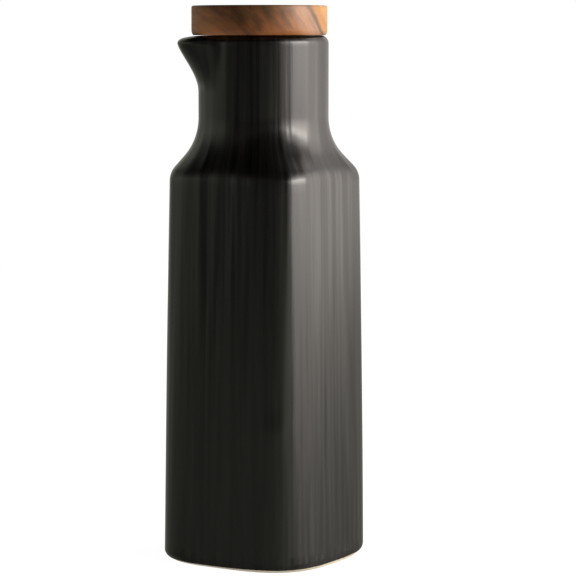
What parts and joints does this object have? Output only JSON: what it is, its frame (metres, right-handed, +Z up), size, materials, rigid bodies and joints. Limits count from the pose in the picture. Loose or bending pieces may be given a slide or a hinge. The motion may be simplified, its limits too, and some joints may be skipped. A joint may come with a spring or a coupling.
{
  "type": "soy sauce dispenser",
  "caption": "Black glazed stoneware sauce bottle with a rounded square body, sloping shoulder, round neck and pulled pouring spout, closed by a flat round wooden lid.",
  "frame": {"origin": "middle of the foot's resting face", "axes": "+Z up along the neck; the body's four faces look along +X, -X, +Y and -Y; the spout points over the -X -Y corner"},
  "size_m": [0.0644, 0.0644, 0.208],
  "materials": {
    "black_glaze": "satin black glaze with faint upright streaks, bare buff clay on the foot",
    "lid_wood": "oiled dark brown hardwood with a pale streak of sapwood"
  },
  "bodies": {
    "root": {"bottle": "black_glaze", "lid": "lid_wood"}
  },
  "joints": []
}
